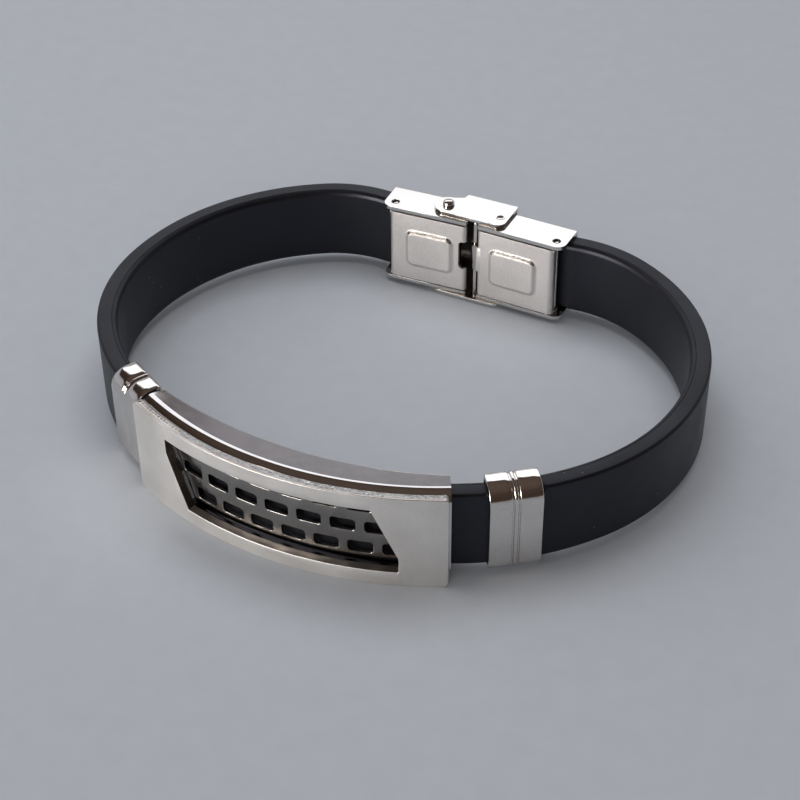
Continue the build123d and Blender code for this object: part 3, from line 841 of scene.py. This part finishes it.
# Pierced sheet, its slots set out by geometry nodes
def slot_row(tree, row, given, slot):
    """One row of slots, every other row moved along by half a pitch."""
    stagger = 0.5 if row else 0.0
    columns = range(-4, 4) if row else range(-3, 4)
    start = add(tree, "ShaderNodeCombineXYZ", inputs={
        "X": maths(tree, "MULTIPLY", given["Pitch"], columns[0] + stagger),
        "Y": maths(tree, "MULTIPLY", given["Row pitch"], row)})
    offset = add(tree, "ShaderNodeCombineXYZ", inputs={"X": given["Pitch"]})
    line = add(tree, "GeometryNodeMeshLine", {"mode": "OFFSET"}, {
        "Count": len(columns), "Start Location": start.outputs[0], "Offset": offset.outputs[0]})
    placed = add(tree, "GeometryNodeInstanceOnPoints", inputs={
        "Points": line.outputs[0], "Instance": slot})
    return add(tree, "GeometryNodeRealizeInstances", inputs={"Geometry": placed.outputs[0]})


def sheet_tree():
    """Rounded slots in staggered rows, cut from a filled strip of sheet."""
    tree = bpy.data.node_groups.new("pierced_sheet", "GeometryNodeTree")
    sizes = [("Length", SHEET_LENGTH), ("Height", SHEET_HEIGHT), ("Thickness", SHEET_THICKNESS),
             ("Slot width", HOLE_WIDTH), ("Slot height", HOLE_HEIGHT),
             ("Slot corner", HOLE_CORNER), ("Pitch", HOLE_PITCH), ("Row pitch", ROW_PITCH)]
    for name, size in sizes:
        socket = tree.interface.new_socket(name, in_out="INPUT", socket_type="NodeSocketFloat")
        socket.default_value = size * MM
    tree.interface.new_socket("Geometry", in_out="OUTPUT", socket_type="NodeSocketGeometry")
    given = add(tree, "NodeGroupInput").outputs
    slot = add(tree, "GeometryNodeCurvePrimitiveQuadrilateral", inputs={
        "Width": given["Slot width"], "Height": given["Slot height"]})
    rounded = add(tree, "GeometryNodeFilletCurve", {"mode": "POLY"}, {
        "Curve": slot.outputs[0], "Radius": given["Slot corner"], "Count": 5})
    joined = add(tree, "GeometryNodeJoinGeometry")
    for row in (-1, 0, 1):
        slots = slot_row(tree, row, given, rounded.outputs[0])
        tree.links.new(slots.outputs[0], joined.inputs[0])
    rim = add(tree, "GeometryNodeCurvePrimitiveQuadrilateral", inputs={
        "Width": given["Length"], "Height": given["Height"]})
    tree.links.new(rim.outputs[0], joined.inputs[0])
    filled = add(tree, "GeometryNodeFillCurve", inputs={"Curve": joined.outputs[0]})
    thick = add(tree, "GeometryNodeExtrudeMesh", inputs={
        "Mesh": filled.outputs[0], "Offset Scale": given["Thickness"], "Individual": False})
    back = add(tree, "GeometryNodeFlipFaces", inputs={"Mesh": filled.outputs[0]})
    closed = add(tree, "GeometryNodeJoinGeometry")
    tree.links.new(thick.outputs[0], closed.inputs[0])
    tree.links.new(back.outputs[0], closed.inputs[0])
    merged = add(tree, "GeometryNodeMergeByDistance", inputs={
        "Geometry": closed.outputs[0], "Distance": 0.002 * MM})
    real = add(tree, "GeometryNodeRealizeInstances", inputs={"Geometry": merged.outputs[0]})
    painted = add(tree, "GeometryNodeSetMaterial", inputs={
        "Geometry": real.outputs[0], "Material": SHEET_STEEL})
    add(tree, "NodeGroupOutput", inputs={0: painted.outputs[0]})
    return tree


def make_sheet():
    """The pierced sheet, its slots' rims rounded by the punch, bent to the plate's curve."""
    sheet = piece_of("pierced_window_sheet", bpy.data.meshes.new("pierced_window_sheet"))
    modified(sheet, "NODES", node_group=sheet_tree())
    sliced(sheet.data, 0, -SHEET_LENGTH / 2, SHEET_LENGTH / 2, 0.5)
    broken_edges(sheet, SHEET_RIM, 3, clamped=False)
    front_radius = PLATE_BACK_RADIUS - HOUSING_WALL - SHEET_ROOM
    stretch = PLATE_RADIUS / front_radius
    bend = on_plate(front_radius - SHEET_THICKNESS)
    reshaped(sheet, lambda point: bend(Vector(((point.x + SHEET_SHIFT) * stretch,
                                               point.y + SHEET_LIFT, point.z))))
    return dressed(shaded(sheet), SHEET_STEEL, "bracelet", "satin_steel", "grid_sheet")


# Keepers
def keeper_profile():
    """The band's outer face along the strap: place along it and how far it lies in."""
    half = KEEPER_LENGTH / 2
    bead = KEEPER_BEAD / 2
    groove = KEEPER_GROOVE
    side = [
        (half, KEEPER_RIM),
        (half - KEEPER_RIM * 0.3, KEEPER_RIM * 0.3),
        (half - KEEPER_RIM, 0.0),
        (half - 0.8, -KEEPER_CROWN),
        (bead + groove + 0.6, -KEEPER_CROWN),
        (bead + groove + 0.08, 0.0),
        (bead + groove + 0.02, 0.03),
        (bead + groove * 0.75, KEEPER_GROOVE_CUT),
        (bead + groove * 0.25, KEEPER_GROOVE_CUT),
    ]
    for share in (1.0, 0.85, 0.65, 0.4, 0.15):
        side.append((bead * share, 0.1 - (0.1 + KEEPER_BEAD_RISE) * math.sqrt(1 - share * share)))
    return [(-x, inset) for x, inset in side] + [(x, inset) for x, inset in reversed(side)]


def make_keeper(name, station, node):
    depth = STRAP_THICKNESS + 2 * (KEEPER_ROOM + KEEPER_WALL)
    height = STRAP_WIDTH + 2 * (KEEPER_ROOM + KEEPER_WALL)
    point, heading = station
    middle = point + inward(heading) * (STRAP_THICKNESS / 2)
    end = KEEPER_LENGTH / 2
    inside = [(end, KEEPER_WALL - 0.06), (end - 0.05, KEEPER_WALL), (0.05 - end, KEEPER_WALL),
              (-end, KEEPER_WALL - 0.06)]
    rings = []
    for x, inset in keeper_profile() + inside:
        low, high = -depth / 2 + inset, depth / 2 - inset
        top = height / 2 - inset
        rear = KEEPER_REAR_ROUND - inset
        section = rounded_outline([(low, -top, KEEPER_BOTTOM_ROUND - inset), (high, -top, rear),
                                   (high, top, rear), (low, top, KEEPER_TOP_ROUND - inset)], 18)
        ring = []
        for place in section:
            plan = middle + direction(heading) * x + inward(heading) * place.x
            ring.append((plan.x, plan.y, MIDDLE_Z + place.y))
        rings.append(ring)
    keeper = shaded(skinned(name, rings, loop=True), 50)
    return dressed(keeper, KEEPER_STEEL, "bracelet", "polished_steel", node)


# Clasp
def make_clasp_box(side):
    box = broken_edges(copy_of("clasp_box_" + side, side + "_clasp_channel"), BOX_EDGE, 4)
    return dressed(shaded(box), BOX_STEEL, "bracelet", "polished_steel", "clasp_box_" + side)


def pad_height(x, z):
    """How far the pressed pad stands proud at a place on the lid's face."""
    across = abs(x - PAD_X) - (PAD_LENGTH / 2 - PAD_CORNER)
    up = abs(z) - (PAD_HEIGHT / 2 - PAD_CORNER)
    outside = Vector((max(across, 0), max(up, 0))).length + min(max(across, up), 0) - PAD_CORNER
    share = min(max(-outside / PAD_SLOPE, 0), 1)
    return PAD_RISE * share * share * (3 - 2 * share)


def lid_section():
    """The lid's outer face in plan: points with their outward normals."""
    face = LID_FACE_Y
    gap_fold, end_fold = LID_GAP_FOLD, LID_END_FOLD
    found = []
    for angle in quarter_turn(FOLD_STEPS):
        normal = Vector((-math.cos(angle), -math.sin(angle)))
        found.append((Vector((gap_fold, face + gap_fold)) + normal * gap_fold, normal))
    flat = LID_LENGTH - gap_fold - end_fold
    for i in range(1, LID_COLUMNS):
        found.append((Vector((gap_fold + flat * i / LID_COLUMNS, face)), Vector((0, -1))))
    for angle in quarter_turn(FOLD_STEPS):
        normal = Vector((math.sin(angle), -math.cos(angle)))
        found.append((Vector((LID_LENGTH - end_fold, face + end_fold)) + normal * end_fold, normal))
    found.append((Vector((LID_LENGTH, face + end_fold + 0.1)), Vector((1, 0))))
    return found


def clasp_place(side):
    def place(point):
        plan = box_point(side, point.x, point.y)
        return plan.x, plan.y, MIDDLE_Z + point.z
    return place


def ribbon(name, line, thickness, low, high):
    """A strip of sheet along a plan line of points and outward normals."""
    rings = []
    for point, normal in line:
        inner = point - normal * thickness
        rings.append([(*point, low), (*inner, low), (*inner, high), (*point, high)])
    return skinned(name, rings)


def hook_line():
    """The hook's outer face: along the lid and round the catch bar."""
    reach = HOOK_START - HOOK_END
    centre = Vector((HOOK_START, LID_FACE_Y + HOOK_DEPTH))
    line = [(Vector((1.2, LID_FACE_Y)), Vector((0, -1)))]
    for angle in quarter_turn(18):
        out = math.sin(angle) ** (2 / HOOK_BEND)
        down = max(math.cos(angle), 0) ** (2 / HOOK_BEND)
        normal = Vector((-out ** (HOOK_BEND - 1) / reach, -down ** (HOOK_BEND - 1) / HOOK_DEPTH))
        line.append((centre + Vector((-out * reach, -down * HOOK_DEPTH)), normal.normalized()))
    line.append((Vector((HOOK_END, LID_FACE_Y + HOOK_DEPTH + HOOK_TIP)), Vector((-1, 0))))
    return line


def lid_shell(side):
    """The lid's sheet with its folds and its pressed pad."""
    section = lid_section()
    vertices = []
    for point, normal in section:
        for row in range(LID_ROWS + 1):
            z = LID_HALF_HEIGHT * (2 * row / LID_ROWS - 1)
            face = point + normal * pad_height(point.x, z) if normal.y < -0.99 else point
            vertices.append((face.x, face.y, z))
    faces = []
    for i in range(len(section) - 1):
        for row in range(LID_ROWS):
            near = i * (LID_ROWS + 1) + row
            faces.append((near, near + 1, near + LID_ROWS + 2, near + LID_ROWS + 1))
    lid = mesh_piece(side + "_clasp_lid", vertices, faces)
    middle = lid.data.polygons[len(lid.data.polygons) // 2]
    if middle.normal.y > 0:
        lid.data.flip_normals()
    return modified(lid, "SOLIDIFY", thickness=LID_THICKNESS * MM, offset=-1.0,
                    use_even_offset=False)


def lid_notch():
    """The notch in the left lid's gap edge, which the hook passes through."""
    half = NOTCH_HEIGHT / 2
    corners = [(-NOTCH_DEPTH, -half, 0), (NOTCH_DEPTH, -half, NOTCH_CORNER),
               (NOTCH_DEPTH, half, NOTCH_CORNER), (-NOTCH_DEPTH, half, 0)]
    notch = blank("lid_notch", [rounded_outline(corners)], 6.0, 0.01)
    return reshaped(notch, lambda p: (p.x, LID_FACE_Y + p.z, p.y + NOTCH_LIFT))


def lid_ear(way):
    """The ear at the lid's lower or upper end, with a bore for its pin."""
    front = LID_FACE_Y + LID_THICKNESS / 2
    left, right, rear = PIN_X - EAR, PIN_X + EAR, PIN_Y + EAR
    ear = rounded_outline([(left, front, 0), (LID_LENGTH - 0.1, front, 0), (right, PIN_Y, 0.2),
                           (PIN_X + EAR * 0.6, rear, 0.4), (PIN_X - EAR * 0.6, rear, 0.4),
                           (left, PIN_Y, 0.2)])
    bore = rounded_outline([(PIN_X + x * PIN_FIT, PIN_Y + y * PIN_FIT, PIN_FIT)
                            for x, y in CORNERS])
    level = way * (LID_HALF_HEIGHT - EAR_THICKNESS / 2 - EAR_INSET)
    tab = blank("lid_ear", [ear, bore], EAR_THICKNESS, 0.02)
    return reshaped(tab, lambda p: (p.x, p.y, p.z + level))


def lid_finish(place, normal):
    """Polished on the hook, rough and painted dark as shade on the pad's upper slope, satin
    everywhere else.
    """
    if place.x < 0:
        return KEEPER_STEEL
    # the pad's upward-facing slope gets painted shade, darker than the lid's steel
    if place.y < LID_FACE_Y and normal.z > 0.3 and place.z < PAD_HEIGHT / 2:
        return PAD_SLOPE_SHADED_STEEL
    return LID_STEEL


def make_lid(side):
    lid = lid_shell(side)
    if side == "left":
        cut(lid, lid_notch())
    else:
        low, high = NOTCH_LIFT - HOOK_HEIGHT / 2, NOTCH_LIFT + HOOK_HEIGHT / 2
        cut(lid, ribbon("lid_hook", hook_line(), HOOK_THICKNESS, low, high), "UNION")
    for way in (-1, 1):
        cut(lid, lid_ear(way), "UNION")
    broken_edges(lid, LID_EDGE)
    finished_by_face(lid, [LID_STEEL, PAD_SLOPE_SHADED_STEEL, KEEPER_STEEL], lid_finish)
    reshaped(lid, clasp_place(side))
    return dressed(shaded(lid, 40), LID_STEEL, side + "_lid", "satin_steel", "clasp_lid_" + side)


def make_link():
    """The lever; its lower ear reaches a little further out, so that it shows below the lids."""
    lever = copy_of("clasp_link", "clasp_lever")
    near_half = (LINK_LOW.y + LINK_HIGH.y) / 2 - 1
    for vertex in lever.data.vertices:
        if vertex.co.z / MM < LINK_LOW.z + 1 and vertex.co.y / MM < near_half:
            vertex.co.y -= LOWER_EAR_REACH * MM
    broken_edges(lever, LEVER_EDGE, 3)
    return dressed(shaded(lever), BOX_STEEL, "lever", "polished_steel", "clasp_link")


def turned_piece(name, centre, profile, sides=32):
    """A turned piece about an upright axis from radius and height pairs."""
    rings = []
    for radius, z in profile:
        rings.append([(centre.x + radius * math.cos(2 * math.pi * i / sides),
                       centre.y + radius * math.sin(2 * math.pi * i / sides), z)
                      for i in range(sides)])
    return skinned(name, rings)


def make_rivet():
    """The lever's rivet: a flat foot, a shank and a full domed head."""
    low, high = node_box("link_rivet")
    head = (high.x - low.x) / 2
    foot = low.z + RIVET_FOOT
    under = LINK_HIGH.z + RIVET_GAP
    rim = under + RIVET_CHAMFER
    profile = [(head - RIVET_FOOT_CHAMFER, low.z), (head, low.z + RIVET_CHAMFER), (head, foot),
               (RIVET_SHANK, foot), (RIVET_SHANK, under), (head - RIVET_CHAMFER, under),
               (head, rim)]
    for angle in quarter_turn(12)[1:]:
        reach = max(math.cos(angle), 0.001) ** 0.7
        profile.append((head * reach, rim + (high.z - rim) * math.sin(angle) ** 0.8))
    rivet = turned_piece("lever_rivet", (low + high) / 2, profile)
    return dressed(shaded(rivet, 50), KEEPER_STEEL, "bracelet", "polished_steel", "link_rivet")


def make_pin(name, node, body, radius, shift=0.0):
    """A plain turned pin, its ends rounded by the tumbling."""
    low, high = node_box(node)
    profile = []
    for angle in quarter_turn(8):
        profile.append((max(radius * math.sin(angle), 0.01),
                        low.z + PIN_DOME * (1 - math.cos(angle))))
    profile += [(reach, low.z + high.z - z) for reach, z in reversed(profile)]
    pin = turned_piece(name, (low + high) / 2 + Vector((shift, 0, 0)), profile, 24)
    return dressed(shaded(pin, 50), KEEPER_STEEL, body, "polished_steel", node)


make_strap()
make_front_plate()
make_housing()
make_sheet()
make_keeper("left_keeper_band", LEFT_KEEPER, "keeper_left")
make_keeper("right_keeper_band", RIGHT_KEEPER, "keeper_right")
for clasp_side in ("left", "right"):
    make_clasp_box(clasp_side)
    make_lid(clasp_side)
    make_pin(clasp_side + "_hinge_pin", "lid_pin_" + clasp_side, "bracelet", PIN_RADIUS)
make_link()
make_rivet()
make_pin("lever_catch_bar", "catch_bar", "lever", BAR_RADIUS, BAR_SHIFT)


# Floor, light and camera
FLOOR_REACH = 700
TARGET = Vector((1.1, 0.2, 1.2))
AZIMUTH = math.radians(26.4)
ELEVATION = math.radians(38.309)
DISTANCE = 219.093
ROLL = math.radians(-0.524)
LENS = 81.0
SENSOR = 36.0


def make_floor():
    """A plain sheet of matt grey paper."""
    material, tree, place = new_material("matt_paper")
    colour = ramp(tree, clouds(tree, place, 3, 4.0), [(0.3, "#c3c9d0"), (0.7, "#c6ccd3")])
    shader = add(tree, "ShaderNodeBsdfPrincipled", inputs={
        "Base Color": colour, "Roughness": 0.8, "Specular IOR Level": 0.2})
    finished(material, tree, shader)
    corners = [(x * FLOOR_REACH, y * FLOOR_REACH, 0) for x, y in CORNERS]
    floor = mesh_piece("floor", corners, [(0, 1, 2, 3)])
    floor.data.materials.append(material)


def way_to(azimuth, elevation):
    """The direction from the bracelet to a place in the room."""
    return Vector((math.sin(azimuth) * math.cos(elevation),
                   -math.cos(azimuth) * math.cos(elevation), math.sin(elevation)))


def make_camera():
    """The camera of the photograph, found by fitting it to the bracelet's corners."""
    camera = bpy.data.objects.new("camera", bpy.data.cameras.new("camera"))
    bpy.context.scene.collection.objects.link(camera)
    camera.data.sensor_width = SENSOR
    camera.data.lens = LENS
    camera.data.clip_start = 0.01
    camera.data.clip_end = 10.0
    back = way_to(AZIMUTH, ELEVATION)
    camera.location = (TARGET + back * DISTANCE) * MM
    aim = (-back).to_track_quat("-Z", "Y").to_matrix().to_4x4()
    camera.rotation_euler = aim.to_euler()
    camera.rotation_euler.rotate_axis("Z", ROLL)
    bpy.context.scene.camera = camera


def make_world():
    """A dim warm room: grey paper behind the bracelet, brown ceiling and camera side."""
    world = bpy.data.worlds.new("dim_room")
    bpy.context.scene.world = world
    world.use_nodes = True
    tree = world.node_tree
    tree.nodes.clear()
    coordinates = add(tree, "ShaderNodeTexCoord")
    height = add(tree, "ShaderNodeSeparateXYZ", inputs={"Vector": coordinates.outputs["Generated"]})
    front = add(tree, "ShaderNodeVectorMath", {"operation": "DOT_PRODUCT"}, {
        0: coordinates.outputs["Generated"], 1: (math.sin(AZIMUTH), -math.cos(AZIMUTH), 0)})
    side = add(tree, "ShaderNodeMapRange", {"interpolation_type": "SMOOTHSTEP"}, {
        "Value": front.outputs["Value"], "From Min": -0.25, "From Max": 0.35})
    behind = ramp(tree, height.outputs["Z"], [
        (0.0, "#bcbdc2"), (0.36, "#b4b5ba"), (0.43, "#a5a3a8"), (0.47, "#4a3d35"), (0.52, "#3a2e27"),
        (0.7, "#43372f"), (0.85, "#574a42"), (1.0, "#5f534b")])
    before = ramp(tree, height.outputs["Z"], [
        (0.0, "#a6a6a9"), (0.07, "#8f8b88"), (0.15, "#42372f"), (0.7, "#4a3d35"),
        (0.85, "#574a42"), (1.0, "#5f534b")])
    room = add(tree, "ShaderNodeMix", {"data_type": "RGBA"}, {
        0: side.outputs[0], 6: behind, 7: before})
    background = add(tree, "ShaderNodeBackground", inputs={
        "Color": room.outputs[2], "Strength": 1.0})
    output = add(tree, "ShaderNodeOutputWorld")
    tree.links.new(background.outputs[0], output.inputs["Surface"])


def make_light(name, azimuth, elevation, distance, size, radiance, colour, mirrored):
    """A soft box at this azimuth from the camera's, aimed at the bracelet, in millimetres.

    It either shows as a reflection or lights what is matt, so that each can be set alone.
    """
    place = way_to(AZIMUTH + math.radians(azimuth), math.radians(elevation)) * distance
    lamp = bpy.data.lights.new(name, "AREA")
    lamp.shape = "RECTANGLE"
    lamp.size, lamp.size_y = size[0] * MM, size[1] * MM
    lamp.energy = radiance * math.pi * lamp.size * lamp.size_y
    lamp.color = linear(colour)[:3]
    light = bpy.data.objects.new(name, lamp)
    bpy.context.scene.collection.objects.link(light)
    light.visible_glossy = mirrored
    light.visible_diffuse = not mirrored
    light.location = place * MM
    light.rotation_euler = (-place).to_track_quat("-Z", "Y").to_euler()


make_floor()
make_camera()
make_world()
# The white box behind shows in every flat top and as a thin line along the sleeve's fold. The
# low box at the left front brightens the middle of the plate and the lids, and the window
# above it the rims that face up and forwards.
make_light("box_behind", 180, 39.8, 800, (1000, 291), 1.7, "#f7faff", True)
make_light("box_left_front", -54, 13, 650, (360, 260), 16.0, "#fffaf5", True)
make_light("front_window", -56, 46, 650, (200, 140), 3.0, "#fffaf5", True)
# The fills light the paper and the rubber
make_light("overhead_fill", 180, 76, 412, (360, 300), 2.45, "#fbfcff", False)
make_light("left_fill", -125, 42, 650, (520, 360), 1.2, "#fbfcff", False)
make_light("front_fill", -10, 30, 650, (500, 300), 1.6, "#fbfcff", False)
bpy.context.scene.view_settings.view_transform = "Standard"
